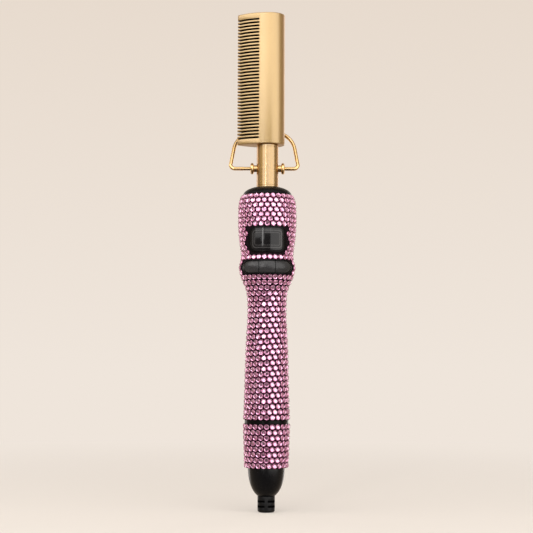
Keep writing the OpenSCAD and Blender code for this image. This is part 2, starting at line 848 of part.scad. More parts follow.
// Tapered collar with a spigot that passes the seam ring into the shells
module tail_collar() {
  low_r = inner_r(shell_end) - fit;
  high_r = inner_r(shell_end + collar_spigot) - fit;
  color([0.06, 0.06, 0.06])
  rotate_extrude($fn = 96)
    polygon([
      [collar_end_r, collar_end], [collar_top_r, seam_end], [low_r, seam_end], [low_r, shell_end],
      [high_r, shell_end + collar_spigot], [high_r - 1.6, shell_end + collar_spigot],
      [low_r - 1.8, seam_end - 3], [collar_top_r - collar_wall, seam_end - 5],
      [collar_end_r - collar_wall, collar_end]]);
}

cap_full = 2.5;
cap_rise = cap_len / sqrt(1 - pow((relief_r - 0.1) / cap_r, cap_full));

// Black dome under the collar, with a spigot in the collar and the swivel's floor
module tail_cap() {
  steps = 14;
  spigot_r = collar_end_r - collar_wall - fit;
  cavity_r = spigot_r - 2.8;
  color([0.05, 0.05, 0.05])
  rotate_extrude($fn = 96)
    polygon(concat(
      [for (i = [0:steps]) let (d = cap_len * sin(90 * i / steps))
        [cap_r * pow(1 - pow(d / cap_rise, 2), 1 / cap_full), collar_end - fit - d * (1 - fit / cap_len)]],
      [[stem_r + run, cap_end], [stem_r + run, core_floor], [cavity_r, core_floor],
       [cavity_r, collar_end + cap_spigot], [spigot_r, collar_end + cap_spigot], [spigot_r, collar_end - fit]]));
}

module swivel_bush() {
  outer = collar_end_r - collar_wall - 2 * fit;
  color([0.85, 0.84, 0.78])
  translate([0, 0, bush_top - bush_t])
    difference() {
      cylinder(r = outer, h = bush_t, $fn = 72);
      translate([0, 0, -1]) cylinder(r = core_r + run, h = bush_t + 2, $fn = 72);
    }
}

ring_spots = [core_floor + 5, core_floor + 10];

module swivel_core() {
  socket = 4;
  color([0.8, 0.78, 0.7])
  difference() {
    union() {
      translate([0, 0, core_floor + rest_gap]) cylinder(r = core_r + 1.2, h = 1.5, $fn = 64);
      translate([0, 0, core_floor + rest_gap]) cylinder(r = core_r, h = bush_top - core_floor, $fn = 64);
    }
    translate([0, 0, core_floor - 1]) cylinder(r = stem_r + run, h = socket + 1, $fn = 48);
    for (z = ring_spots)
      translate([0, 0, z]) difference() {
        cylinder(r = core_r + 2, h = ring_h, $fn = 64);
        translate([0, 0, -1]) cylinder(r = core_r - ring_t, h = ring_h + 2, $fn = 64);
      }
  }
}

// Two brass rings let into the core, one for each wire of the cord
module slip_rings() {
  color([0.8, 0.62, 0.25])
  for (z = ring_spots)
    translate([0, 0, z + fit / 2]) difference() {
      cylinder(r = core_r, h = ring_h - fit, $fn = 64);
      translate([0, 0, -1]) cylinder(r = core_r - ring_t + fit / 4, h = ring_h + 2, $fn = 64);
    }
}

// Flat springs that hang from the bush and wipe the rings
module brush_springs() {
  spring_t = 0.4;
  spring_w = 2.4;
  color([0.8, 0.62, 0.25])
  for (i = [0, 1])
    rotate([0, 0, 180 * i]) {
      low = ring_spots[i] + 0.2;
      translate([core_r + 0.15, -spring_w / 2, low]) cube([spring_t, spring_w, bush_top - bush_t - low]);
      translate([core_r + 0.15, -spring_w / 2, bush_top - bush_t - spring_t]) cube([1.7, spring_w, spring_t]);
    }
}

// Rubber sleeve that the cord leaves by: three rings, joined by bridges between the slots
module strain_relief() {
  groove_h = relief_len * 0.13;
  groove_in = 0.9;
  bridge_w = 1.8;
  color([0.05, 0.05, 0.05])
  difference() {
    union() {
      translate([0, 0, relief_end + 0.8]) cylinder(r = relief_r, h = relief_len - 0.8, $fn = 64);
      translate([0, 0, relief_end]) cylinder(r1 = relief_r - 0.7, r2 = relief_r, h = 0.8, $fn = 64);
      translate([0, 0, relief_top - 1]) cylinder(r = stem_r, h = core_floor - relief_top + 4.5, $fn = 48);
    }
    translate([0, 0, relief_end - 1]) cylinder(r = gland_r, h = gland_len + 1, $fn = 48);
    for (share = [0.3, 0.62])
      translate([0, 0, relief_end + share * relief_len])
        difference() {
          cylinder(r = relief_r + 1, h = groove_h, $fn = 64);
          translate([0, 0, -1]) cylinder(r = relief_r - groove_in, h = groove_h + 2, $fn = 64);
          for (a = [0, 90])
            rotate([0, 0, a]) translate([-far / 2, -bridge_w / 2, -1]) cube([far, bridge_w, groove_h + 2]);
        }
  }
}

// ---- stones ----------------------------------------------------------------------------

stone_r = stone_d / 2;

module stone() {
  rotate_extrude($fn = 16)
    polygon([[0, 0], [stone_r, 0], [stone_r, stone_rim], [0.56 * stone_r, stone_h], [0, stone_h]]);
}

// How far a stone's back stands off the wall, where the wall is hollow under it
function stone_lift(z) =
  glue + max(0, (outline_r(z + stone_r) + outline_r(z - stone_r)) / 2 - outline_r(z));

// A stone on the shells at height z, turned by angle a from the front
module shell_stone(z, a) {
  tilt = atan((outline_r(z - 0.5) - outline_r(z + 0.5)) / 1);
  rotate([0, 0, a]) translate([0, -outline_r(z), z]) rotate([90 - tilt, 0, 0])
    translate([0, 0, stone_lift(z)]) stone();
}

// Rim of a stone's back at height z, turned by angle a, as seen from the front
function rim_spots(z, a) =
  let (tilt = atan(outline_r(z - 0.5) - outline_r(z + 0.5)))
  [for (t = [0:30:330])
    [(outline_r(z) - stone_r * sin(t) * sin(tilt)) * sin(a) + stone_r * cos(t) * cos(a),
     z + stone_r * sin(t) * cos(tilt)]];

// Distances of a place from the bezel and from the oval round the keys
function off_window(p) =
  let (dx = abs(p.x) - bezel_w / 2 + bezel_corner, dz = abs(p.y - window_z) - bezel_h / 2 + bezel_corner)
  norm([max(dx, 0), max(dz, 0)]) + min(max(dx, dz), 0) - bezel_corner;

function off_keys(p) =
  norm([max(abs(p.x) - (opening_w - opening_h) / 2, 0), p.y - key_z]) - opening_h / 2;

function is_free(z, a) =
  cos(a) < 0 || min([for (p = rim_spots(z, a)) min(off_window(p), off_keys(p))]) > side_gap;

barrel_top_row = upper_len - 1.5;
barrel_low_row = key_z + opening_h / 2 + stone_r + stone_gap;
barrel_rows = floor((barrel_top_row - barrel_low_row) / barrel_pitch);
barrel_step = (barrel_top_row - barrel_low_row) / barrel_rows;
grip_top_row = key_z - opening_h / 2 - stone_r - stone_gap;
grip_low_row = shell_end + stone_r;
grip_rows = floor((grip_top_row - grip_low_row) / grip_pitch);
grip_step = (grip_top_row - grip_low_row) / grip_rows;
side_rows = floor((barrel_low_row - grip_top_row) / barrel_pitch) - 1;
side_pitch = (barrel_low_row - grip_top_row) / (side_rows + 1);

// One row of stones; half is -1 for the front and 1 for the rear
module stone_row(z, count, shift, slant, half) {
  for (i = [0:count - 1]) {
    a = (i + shift) * 360 / count;
    r = outline_r(z);
    x = r * sin(a);
    y = -r * cos(a);
    row_z = z + slant * x;
    if ((half < 0) == (y < 0.001) && is_free(row_z, a)) shell_stone(row_z, a);
  }
}

function row_count(z) = floor(2 * PI * (outline_r(z) + stone_rim) / grip_spacing);

// The grip's rows rise across the front, most of all half way down
function slant_at(row) = row_slant * sin(180 * pow(row / grip_rows, 1.4));

module stones(half) {
  for (i = [0:barrel_rows])
    stone_row(barrel_top_row - i * barrel_step, barrel_row_count, (i % 2) / 2, 0, half);
  for (i = [1:side_rows + 1])
    stone_row(barrel_low_row - i * side_pitch, barrel_row_count, ((barrel_rows + i) % 2) / 2, 0, half);
  for (i = [1:grip_rows]) {
    z = grip_top_row - i * grip_step;
    stone_row(z, row_count(z), (i % 2) / 2, slant_at(i), half);
  }
}

module front_stones() {
  color([0.8, 0.5, 0.64]) stones(-1);
}

module rear_stones() {
  color([0.8, 0.5, 0.64]) stones(1);
}

module collar_stones() {
  taper = atan((collar_top_r - collar_end_r) / collar_len);
  top_row = seam_end - stone_r;
  low_row = collar_end + stone_r;
  rows = floor((top_row - low_row) / collar_pitch);
  color([0.8, 0.5, 0.64])
  for (i = [0:rows])
    for (k = [0:collar_row_count - 1]) {
      z = top_row - i * (top_row - low_row) / rows;
      r = collar_end_r + (collar_top_r - collar_end_r) * (z - collar_end) / collar_len;
      rotate([0, 0, (k + (i % 2) / 2) * 360 / collar_row_count])
        translate([0, -r, z]) rotate([90 + taper, 0, 0]) translate([0, 0, glue]) stone();
    }
}

comb_head();
heater_element();
heater_contacts();
heater_sleeve();
thermistor();
heater_leads();
thermal_fuse();
barrel_tube();
tube_clamp();
left_eyelet();
right_eyelet();
stand_bail();
nose_cap();
front_shell();
rear_shell();
display_bezel();
display_lens();
lcd_cell();
lcd_frame();
main_board();
board_parts();
board_screws();
key_switches();
key_surround();
minus_key();
power_key();
plus_key();
power_leads();
seam_ring();
tail_collar();
tail_cap();
swivel_bush();
brush_springs();
swivel_core();
slip_rings();
strain_relief();
front_stones();
rear_stones();
collar_stones();
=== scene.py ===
import math
import random

import bmesh
import bpy
import numpy as np
from mathutils import Matrix, Vector


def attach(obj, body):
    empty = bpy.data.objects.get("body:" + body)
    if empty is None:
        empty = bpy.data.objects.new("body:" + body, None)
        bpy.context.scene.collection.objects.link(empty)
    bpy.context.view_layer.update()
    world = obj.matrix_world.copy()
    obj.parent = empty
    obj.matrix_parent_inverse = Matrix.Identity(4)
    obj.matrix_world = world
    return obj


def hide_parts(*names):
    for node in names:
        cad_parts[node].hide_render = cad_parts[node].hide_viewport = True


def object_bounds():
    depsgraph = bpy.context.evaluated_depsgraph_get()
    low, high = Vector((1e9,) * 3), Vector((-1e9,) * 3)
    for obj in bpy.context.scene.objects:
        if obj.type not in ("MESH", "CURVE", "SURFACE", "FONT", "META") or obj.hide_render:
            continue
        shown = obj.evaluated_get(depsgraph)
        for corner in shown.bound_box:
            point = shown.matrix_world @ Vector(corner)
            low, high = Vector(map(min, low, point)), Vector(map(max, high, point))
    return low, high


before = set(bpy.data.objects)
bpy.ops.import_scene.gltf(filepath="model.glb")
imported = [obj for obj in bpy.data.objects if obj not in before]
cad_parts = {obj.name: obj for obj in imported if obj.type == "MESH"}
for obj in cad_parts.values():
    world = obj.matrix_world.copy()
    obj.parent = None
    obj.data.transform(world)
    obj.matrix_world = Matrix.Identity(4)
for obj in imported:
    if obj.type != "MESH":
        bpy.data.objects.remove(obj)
cad_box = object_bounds()

# ---- Studio --------------------------------------------------------------------------------
# The comb stands on its cord sleeve on a wide pale table. A wide soft box lights it from the
# front right, narrower ones and a bright strip from the left, one each from the front and from
# above, and two from behind. A pale room fills the shadows.

mm = 0.001
lamp_white = (1, 0.98, 0.96)


def colour(red, green, blue):
    """A paint colour from its screen values, 0 to 255."""
    return [((v / 255 + 0.055) / 1.055) ** 2.4 if v > 10 else v / 3294 for v in (red, green, blue)] + [1]


class Number:
    """A number or colour in a shader tree; a sum written on it adds Math nodes."""

    def __init__(self, finish, socket):
        self.finish, self.socket = finish, socket

    def sum(self, operation, *terms):
        return self.finish.node("Math", {"operation": operation}, dict(enumerate(terms)))

    def __add__(self, other):
        return self.sum("ADD", self, other)

    def __sub__(self, other):
        return self.sum("SUBTRACT", self, other)

    def __rsub__(self, other):
        return self.sum("SUBTRACT", other, self)

    def __mul__(self, other):
        return self.sum("MULTIPLY", self, other)

    def __truediv__(self, other):
        return self.sum("DIVIDE", self, other)

    def __abs__(self):
        return self.sum("ABSOLUTE", self)

    __radd__ = __add__
    __rmul__ = __mul__

    def root(self):
        return self.sum("SQRT", self)

    def larger(self, other):
        return self.sum("MAXIMUM", self, other)

    def smaller(self, other):
        return self.sum("MINIMUM", self, other)

    def output(self, name):
        """Another output of the node that this one comes from."""
        return Number(self.finish, self.socket.node.outputs[name])


class Finish:
    """A finish on its shader tree: node() adds a node, fill() sets a node's sockets."""

    end = "Material Output"

    def __init__(self, name, **shader):
        self.material = bpy.data.materials.new(name)
        self.material.use_nodes = True
        self.tree = self.material.node_tree
        self.shader = self.tree.nodes["Principled BSDF"]
        self.paint(**shader)

    def paint(self, **shader):
        """Sets the shader's own sockets, by their names with _ for a space."""
        self.fill(self.shader, {name.replace("_", " "): value for name, value in shader.items()})

    def fill(self, node, sockets):
        for name, value in sockets.items():
            if isinstance(name, int):
                socket = node.inputs[name]
            else:
                socket = next(s for s in node.inputs if s.name == name and s.enabled)
            if isinstance(value, Number):
                self.tree.links.new(value.socket, socket)
            else:
                socket.default_value = value

    def node(self, kind, settings, sockets, take=None):
        """Adds a node and returns the output that is asked for, or else its first."""
        made = self.tree.nodes.new("ShaderNode" + kind)
        for name, value in settings.items():
            if name == "stops":
                while len(made.color_ramp.elements) < len(value):
                    made.color_ramp.elements.new(0.5)
                for element, (place, shade) in zip(made.color_ramp.elements, value):
                    element.position, element.color = place, shade
            else:
                setattr(made, name, value)
        self.fill(made, sockets)
        return Number(self, next(s for s in made.outputs if s.enabled and take in (None, s.name)))

    def surface(self, shader):
        """Puts a shader on the tree's output."""
        self.tree.links.new(shader.socket, self.tree.nodes[self.end].inputs["Surface"])

    def mix(self, factor, low, high):
        return self.node("Mix", {"data_type": "RGBA"}, {"Factor": factor, "A": low, "B": high})

    def place(self, **sockets):
        """Where a point lies on the piece, moved or stretched."""
        spot = self.node("TexCoord", {}, {}, "Object")
        return self.node("Mapping", {}, {"Vector": spot, **sockets})

    def noise(self, size, stretch=(1, 1, 1), detail=3):
        """An uneven pattern, from 0 to 1, with patches of about this size."""
        spot = self.place(Scale=stretch)
        return self.node("TexNoise", {}, {"Vector": spot, "Scale": 1 / size, "Detail": detail})

    def bump(self, height, depth):
        self.paint(Normal=self.node("Bump", {}, {"Height": height, "Distance": depth, "Strength": 1}))


class Room(Finish):
    """The pale room round the table."""

    end = "World Output"

    def __init__(self):
        world = bpy.context.scene.world = bpy.data.worlds.new("room")
        world.use_nodes = True
        self.tree = world.node_tree


def add_object(name, data):
    """A new object in the scene."""
    made = bpy.data.objects.new(name, data)
    bpy.context.scene.collection.objects.link(made)
    return made


camera_place = (-0.36 * mm, -750 * mm, -34 * mm)
camera_tilt, camera_roll = math.radians(94.487), 0.004
camera = add_object("camera", bpy.data.cameras.new("camera"))
camera.data.sensor_width = 36
camera.data.lens = 87.37
camera.matrix_world = (Matrix.Translation(camera_place) @ Matrix.Rotation(camera_tilt, 4, "X")
                       @ Matrix.Rotation(camera_roll, 4, "Z"))
bpy.context.scene.camera = camera
bpy.context.scene.view_settings.view_transform = "Standard"


def soft_box(name, turn, height, distance, size, glow):
    """A soft box on a stand, turned round from the camera's side; glow 1 is white.

    It faces the comb level, or aims down at the handle from over a metre.
    """
    lamp = add_object(name, bpy.data.lights.new(name, "AREA"))
    lamp.data.shape = "RECTANGLE"
    lamp.data.size, lamp.data.size_y = size
    lamp.data.energy = glow * math.pi * size[0] * size[1]
    lamp.data.color = lamp_white
    turn = math.radians(turn)
    lamp.location = (distance * math.sin(turn), -distance * math.cos(turn), height)
    lamp.rotation_mode = "QUATERNION"
    aim = Vector((0, 0, 0.03 if height > 1 else height))
    lamp.rotation_quaternion = (lamp.location - aim).to_track_quat("Z", "Y")


soft_box("right_box", 44, 0.35, 0.85, (1.0, 1.2), 1.8)
soft_box("left_box", -19, 0.47, 0.90, (0.25, 0.96), 1.2)
soft_box("left_strip", -18.6, 0.42, 0.88, (0.07, 1.1), 6.4)
soft_box("left_wing", -40, 0.53, 0.90, (0.42, 0.96), 1.7)
soft_box("side_box", -70, 0.68, 0.90, (0.7, 0.72), 2.4)
soft_box("middle_box", 3, 0.50, 1.00, (0.45, 0.7), 1.8)
soft_box("back_box", 150, 0.15, 0.90, (0.30, 0.9), 1.6)
soft_box("back_box_left", -140, 0.15, 0.90, (0.30, 0.9), 1.6)
soft_box("top_box", 5, 1.15, 0.65, (1.0, 0.8), 1.6)

horizon = colour(239, 229, 219)
room = Room()
rise = room.node("SeparateXYZ", {}, {"Vector": room.node("TexCoord", {}, {}, "Generated")}, "Z")
backdrop = room.node("ValToRGB", {"stops": [(0.0, horizon), (0.30, colour(231, 218, 205))]},
                     {"Fac": rise})
# What gloss and glass show is a room that is dim on the camera's side and lighter behind the comb.
sides = room.node("ValToRGB", {"stops": [
    (0.04, (0.16, 0.13, 0.13, 1)),
    (0.2, (0.30, 0.25, 0.22, 1)),
    (0.5, (0.37, 0.30, 0.24, 1)),
    (0.8, (0.56, 0.44, 0.34, 1)),
    (0.98, (0.68, 0.60, 0.52, 1)),
]}, {"Fac": rise.output("Y") * 0.5 + 0.5})
seen = room.node("LightPath", {}, {}, "Is Camera Ray")
mirrored = seen.output("Is Glossy Ray").larger(seen.output("Is Transmission Ray"))
fill_light = room.node("Background", {}, {"Color": (*lamp_white, 1), "Strength": 0.5})
shown = room.node("Background", {}, {"Color": room.mix(mirrored, backdrop, sides), "Strength": 1.0})
room.surface(room.node("MixShader", {}, {0: seen + mirrored, 1: fill_light, 2: shown}))

table_r, table_gap = 9, 0.2 * mm
# The table's paint takes the shadow near the comb, and fades into the wall's glow further off.
haze_start, haze_end, near_glow = 0.1, 0.75, 0.35
bpy.ops.object.select_all(action="DESELECT")
bpy.ops.mesh.primitive_circle_add(vertices=96, radius=table_r, fill_type="NGON",
                                  location=(0, 0, cad_box[0].z - table_gap))
table = bpy.context.object
table.name = "table"
bpy.ops.object.transform_apply()
pale_table = Finish("pale_table", Base_Color=colour(222, 213, 203), Roughness=0.9,
                    Specular_IOR_Level=0.1)
far_glow = pale_table.node("Emission", {}, {"Color": horizon, "Strength": 1.0})
distance = pale_table.node("VectorMath", {"operation": "LENGTH"}, {0: pale_table.place()})
haze = pale_table.node("MapRange", {"interpolation_type": "SMOOTHSTEP"},
                       {"Value": distance, "From Min": haze_start, "From Max": haze_end})
seen = pale_table.node("LightPath", {}, {}, "Is Camera Ray")
painted = Number(pale_table, pale_table.shader.outputs[0])
pale_table.surface(pale_table.node("MixShader", {}, {
    0: haze + seen * near_glow * (1 - haze), 1: painted, 2: far_glow}))
table.data.materials.append(pale_table.material)
table.visible_glossy = table.visible_transmission = False

# ---- Comb head -----------------------------------------------------------------------------
# One bar of brass, milled to a round spine with two long flanks, gold plated and blasted to
# a satin face. Its teeth are what a gang of thin slitting cutters leaves standing.


def start(kind, name, **sizes):
    """Adds a primitive on its own and opens it with nothing selected."""
    bpy.ops.object.select_all(action="DESELECT")
    getattr(bpy.ops.mesh, "primitive_" + kind + "_add")(**sizes)
    piece = bpy.context.object
    piece.name = piece.data.name = name
    bpy.ops.object.transform_apply()
    bpy.ops.object.mode_set(mode="EDIT")
    bpy.ops.mesh.select_mode(type="VERT")
    bpy.ops.mesh.select_all(action="DESELECT")
    return piece


def start_point(name, *spot):
    """A single point, drawn out later by extrude and spin."""
    piece = start("circle", name, vertices=3, radius=mm, location=spot)
    bpy.ops.mesh.select_all(action="SELECT")
    bpy.ops.mesh.merge(type="CENTER")
    return piece


def extrude(*step):
    bpy.ops.mesh.extrude_region_move(TRANSFORM_OT_translate={"value": step})


def swing(angle, centre, axis, steps):
    """Spins what is selected round an axis, turning as a right-hand screw does."""
    bpy.ops.mesh.spin(steps=steps, angle=-math.radians(angle), center=centre, axis=axis)


def pick(piece, part, test):
    """Selects the faces or edges that pass a test, and nothing else."""
    bpy.ops.mesh.select_all(action="DESELECT")
    bpy.ops.mesh.select_mode(type=part)
    mesh = bmesh.from_edit_mesh(piece.data)
    for item in {"FACE": mesh.faces, "EDGE": mesh.edges}[part]:
        if test(item):
            item.select_set(True)
    bmesh.update_edit_mesh(piece.data)


def close():
    """Merges doubles, turns the faces outwards and leaves edit mode."""
    bpy.ops.mesh.select_all(action="SELECT")
    bpy.ops.mesh.remove_doubles(threshold=1e-7)
    bpy.ops.mesh.normals_make_consistent(inside=False)
    bpy.ops.object.mode_set(mode="OBJECT")


def select_only(piece):
    bpy.ops.object.select_all(action="DESELECT")
    bpy.context.view_layer.objects.active = piece
    piece.select_set(True)


def modify(piece, kind, **settings):
    """Adds a modifier and applies it."""
    modifier = piece.modifiers.new(kind.lower(), kind)
    for name, value in settings.items():
        setattr(modifier, name, value)
    select_only(piece)
    bpy.ops.object.modifier_apply(modifier=modifier.name)


def cut(piece, *tools, operation="DIFFERENCE"):
    """Cuts tools out of a piece, or joins them to it, and throws the tools away."""
    for tool in tools:
        modify(piece, "BOOLEAN", object=tool, operation=operation, solver="EXACT")
        bpy.data.objects.remove(tool)


def ease(piece, width, segments=2, angle=40):
    """Breaks the edges that are sharper than an angle."""
    modify(piece, "BEVEL", width=width, segments=segments, limit_method="ANGLE",
           angle_limit=math.radians(angle))


def deliver(piece, finish, body, slot, *nodes):
    """Smooths a finished piece, gives it its finish and seats it in the frame."""
    select_only(piece)
    bpy.ops.object.shade_smooth_by_angle(angle=math.radians(32))
    piece.data.materials.clear()
    piece.data.materials.append(finish.material)
    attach(piece, body)
    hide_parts(*nodes)


def finish_faces(piece, finish, test):
    """Gives the faces that pass a test a finish of their own."""
    piece.data.materials.append(finish.material)
    bpy.ops.object.mode_set(mode="EDIT")
    pick(piece, "FACE", test)
    piece.active_material_index = 1
    bpy.ops.object.material_slot_assign()
    bpy.ops.object.mode_set(mode="OBJECT")


def gold(name, base, dark, roughness, stretch, grain, depth, lacquer):
    """Gold plate under clear lacquer, with a fine grain and faint darker clouds from handling."""
    finish = Finish(name, Metallic=1.0, Specular_Tint=colour(240, 196, 130),
                    Coat_Weight=1.0, Coat_Roughness=lacquer, Coat_IOR=2.2)
    lines = finish.noise(grain, stretch)
    clouds = finish.noise(9 * mm, (1, 1, 0.5))
    finish.paint(Base_Color=finish.mix(clouds * 0.6 + lines * 0.4, base, dark),
                 Roughness=roughness + 0.12 * lines + 0.06 * clouds)
    finish.bump(lines, depth)
    return finish


head_low, head_len = 96 * mm, 77.4 * mm
spine_x, spine_r = 1.4 * mm, 8.5 * mm
tip_x, tip_r = -16.2 * mm, 1.6 * mm
flank_r = ((spine_x - tip_x) ** 2 + spine_r ** 2 - tip_r ** 2) / (2 * (spine_r - tip_r))
flank_turn = math.degrees(math.asin((spine_x - tip_x) / (flank_r - tip_r)))

head = start_point("gold_comb", spine_x, -spine_r, head_low)
swing(180, (spine_x, 0, head_low), (0, 0, 1), 36)
swing(flank_turn, (spine_x, spine_r - flank_r, head_low), (0, 0, 1), 14)
swing(180 - 2 * flank_turn, (tip_x, 0, head_low), (0, 0, 1), 12)
swing(flank_turn, (spine_x, flank_r - spine_r, head_low), (0, 0, 1), 14)
bpy.ops.mesh.select_all(action="SELECT")
bpy.ops.mesh.remove_doubles(threshold=1e-6)
bpy.ops.mesh.edge_face_add()
extrude(0, 0, head_len)
pick(head, "FACE", lambda face: abs(face.normal.z) > 0.9)
bpy.ops.mesh.region_to_loop()
bpy.ops.mesh.bevel(offset=0.45 * mm, segments=3)
close()

spigot_r, spigot_len, spigot_root = 5.35 * mm, 10 * mm, 1 * mm
spigot = start("cylinder", "spigot", vertices=64, radius=spigot_r, depth=spigot_len + spigot_root,
               location=(0, 0, head_low + (spigot_root - spigot_len) / 2))
close()
cut(head, spigot, operation="UNION")

slot_pitch, slot_w, slot_count = 1.945 * mm, 1.1 * mm, 37
slot_root, first_slot, cutter = -5 * mm, head_low + 3.48 * mm, 40 * mm
slot = start("cube", "slot", size=1, location=(slot_root - cutter / 2, 0, first_slot),
             scale=(cutter, cutter, slot_w))
pick(slot, "EDGE", lambda edge: all(v.co.x > slot_root - mm for v in edge.verts)
     and abs(edge.verts[0].co.y - edge.verts[1].co.y) > mm)
bpy.ops.mesh.bevel(offset=0.499 * slot_w, segments=6)
close()
modify(slot, "ARRAY", count=slot_count, use_relative_offset=False, use_constant_offset=True,
       constant_offset_displace=(0, 0, slot_pitch))
pocket_middle, pocket_size = (0.5 * mm, 0, 118.5 * mm), (7.4 * mm, 4.5 * mm, 67 * mm)
pocket = start("cube", "pocket", size=1, location=pocket_middle, scale=pocket_size)
close()
cut(head, slot, pocket)
ease(head, 0.17 * mm)

satin_gold = gold("satin_gold", colour(182, 146, 66), colour(170, 134, 54), roughness=0.38,
                  stretch=(1, 1, 0.4), grain=0.3 * mm, depth=0.012 * mm, lacquer=0.35)
deliver(head, satin_gold, "handle", "satin_gold", "comb_head")

# The slot walls carry painted shade: near black deep in the slots, turning dark brown towards the tips
# where less shade falls, with a mottle over it.
painted_slot_shade = Finish("painted_slot_shade", Roughness=0.7, Specular_IOR_Level=0.05)
from_tips = painted_slot_shade.node("SeparateXYZ", {}, {"Vector": painted_slot_shade.place()}, "X")
mouth = painted_slot_shade.node("MapRange", {"interpolation_type": "SMOOTHSTEP"},
                        {"Value": from_tips, "From Min": -14 * mm, "From Max": tip_x - tip_r})
shade_mottle = painted_slot_shade.noise(0.6 * mm)
painted_slot_shade.paint(Base_Color=painted_slot_shade.mix(mouth * (0.7 + 0.3 * shade_mottle), colour(2, 2, 1), colour(84, 50, 24)))


def in_slot(face):
    """A flat side of a slot, or its round root."""
    middle, normal = face.calc_center_median(), face.normal
    in_row = head_low + 3 * mm < middle.z < head_low + head_len - 2.5 * mm
    side = abs(normal.z) > 0.75 and middle.x < slot_root + 0.1 * mm and in_row
    root = normal.x < -0.5 and slot_root - 0.52 * mm < middle.x < slot_root + 0.02 * mm
    return side or root


finish_faces(head, painted_slot_shade, in_slot)

# ---- Barrel tube ---------------------------------------------------------------------------
# Drawn brass tube, turned and polished, with a fine groove near each end and a flange at the
# foot that the mica clamp and the nose cap hold. The head's spigot is pressed into its top.


def turned(name, profile, sides=96):
    """Draws a ring out along (radius, height) steps in millimetres, and back to the first."""
    r, z = profile[0]
    piece = start("circle", name, vertices=sides, radius=r * mm, location=(0, 0, z * mm))
    bpy.ops.mesh.select_all(action="SELECT")
    for next_r, next_z in profile[1:] + profile[:1]:
        extrude(0, 0, (next_z - z) * mm)
        bpy.ops.transform.resize(value=(next_r / r, next_r / r, 1), center_override=(0, 0, next_z * mm))
        r, z = next_r, next_z
    return piece


tube_r, bore_r, cross_r = 6.4, 5.4, 2.05
tube_low, tube_top, tube_edge = 57.6, 96, 0.3
flange_r, flange_top = 9, tube_low + 1.5
groove_r, groove_side = tube_r - 0.09, 0.1
pivot_z = 82.2


def groove(z, width=0.45):
    """A fine groove round the tube, with sloped sides."""
    top = z + width
    return [(tube_r, z), (groove_r, z + groove_side), (groove_r, top - groove_side), (tube_r, top)]


tube = turned("gold_tube", [
    (bore_r, tube_low), (flange_r, tube_low), (flange_r, flange_top), (tube_r, flange_top),
    *groove(71.85), *groove(94.4),
    (tube_r, tube_top - tube_edge), (tube_r - tube_edge, tube_top), (bore_r, tube_top)])
close()
cross_bore = start("cylinder", "cross_bore", vertices=40, radius=cross_r * mm, depth=30 * mm,
                   location=(0, 0, pivot_z * mm), rotation=(0, math.pi / 2, 0))
close()
cut(tube, cross_bore)
polished_gold = gold("polished_gold", colour(174, 136, 58), colour(162, 124, 48), roughness=0.24,
                     stretch=(1, 1, 0.2), grain=0.3 * mm, depth=0.006 * mm, lacquer=0.16)
deliver(tube, polished_gold, "handle", "polished_gold", "barrel_tube")

# ---- Eyelets -------------------------------------------------------------------------------
# Two turned brass posts, riveted into the tube from outside. Each has a fat round flange and
# a bore that a foot of the stand's wire turns in.

foot_bore, shank_r, rivet_r = 1.09, 2, 2.5
rivet_in, rivet_out = 4.0, 4.8
bead_ring, bead_r, bead_out = 2.35, 1, 9

eyelet_profile = [(foot_bore, rivet_in), (rivet_r, rivet_in), (rivet_r, rivet_out),
                  (shank_r, rivet_out), (shank_r, bead_out - bead_r)]
for turn in range(-90, 91, 15):
    a = math.radians(turn)
    eyelet_profile.append((bead_ring + bead_r * math.cos(a), bead_out + bead_r * math.sin(a)))
eyelet_profile += [(1.35, bead_out + bead_r), (foot_bore, bead_out + 0.75)]
bright_gold = gold("bright_gold", colour(226, 186, 108), colour(212, 170, 88), roughness=0.13,
                   stretch=(1, 1, 1), grain=0.4 * mm, depth=0.004 * mm, lacquer=0.08)
for side, name in ((-1, "left_eyelet"), (1, "right_eyelet")):
    eyelet = turned("gold_" + name, eyelet_profile, 48)
    close()
    eyelet.rotation_euler = (0, side * math.pi / 2, 0)
    eyelet.location = (0, 0, pivot_z * mm)
    bpy.ops.object.transform_apply()
    deliver(eyelet, bright_gold, "handle", "polished_gold", name)

# ---- Wire stand ----------------------------------------------------------------------------
# Brass wire of 2.2 mm, bent to a frame with a straight top, leaning legs and two feet
# that turn in the eyelets. It is plated like them, and swings up against the head's back.

wire_r, foot_r, chamfer = 1.1, 1.04, 0.25
foot_in, foot_out, foot_x = 6.2, 12.3, 17.173
foot_bend, top_bend, leg_lean = 2.5, 14, 9
corner_x, corner_z = 4.088, 11.6
stand_slide, back_gap = -1.9, 0.2
lean = math.radians(leg_lean)


def widen(scale, x):
    bpy.ops.transform.resize(value=(1, scale, scale), center_override=(x * mm, 0, 0))


stand = start("circle", "gold_stand", vertices=20, radius=(foot_r - chamfer) * mm,
              location=(foot_in * mm, 0, 0), rotation=(0, math.pi / 2, 0), fill_type="NGON")
bpy.ops.mesh.select_all(action="SELECT")
extrude(chamfer * mm, 0, 0)
widen(foot_r / (foot_r - chamfer), foot_in + chamfer)
extrude((foot_out - foot_in - chamfer) * mm, 0, 0)
extrude(chamfer * mm, 0, 0)
widen(wire_r / foot_r, foot_out + chamfer)
extrude((foot_x - foot_out - chamfer) * mm, 0, 0)
swing(-(90 + leg_lean), (foot_x * mm, 0, foot_bend * mm), (0, 1, 0), 14)
leg = Vector((corner_x + (top_bend - foot_bend) * math.cos(lean) - foot_x, 0,
              corner_z + (top_bend - foot_bend) * math.sin(lean) - foot_bend)) * mm
extrude(*leg)
swing(-(90 - leg_lean), (corner_x * mm, 0, corner_z * mm), (0, 1, 0), 14)
extrude(-2 * corner_x * mm, 0, 0)
swing(-(90 - leg_lean), (-corner_x * mm, 0, corner_z * mm), (0, 1, 0), 14)
extrude(leg.x, 0, -leg.z)
swing(-(90 + leg_lean), (-foot_x * mm, 0, foot_bend * mm), (0, 1, 0), 14)
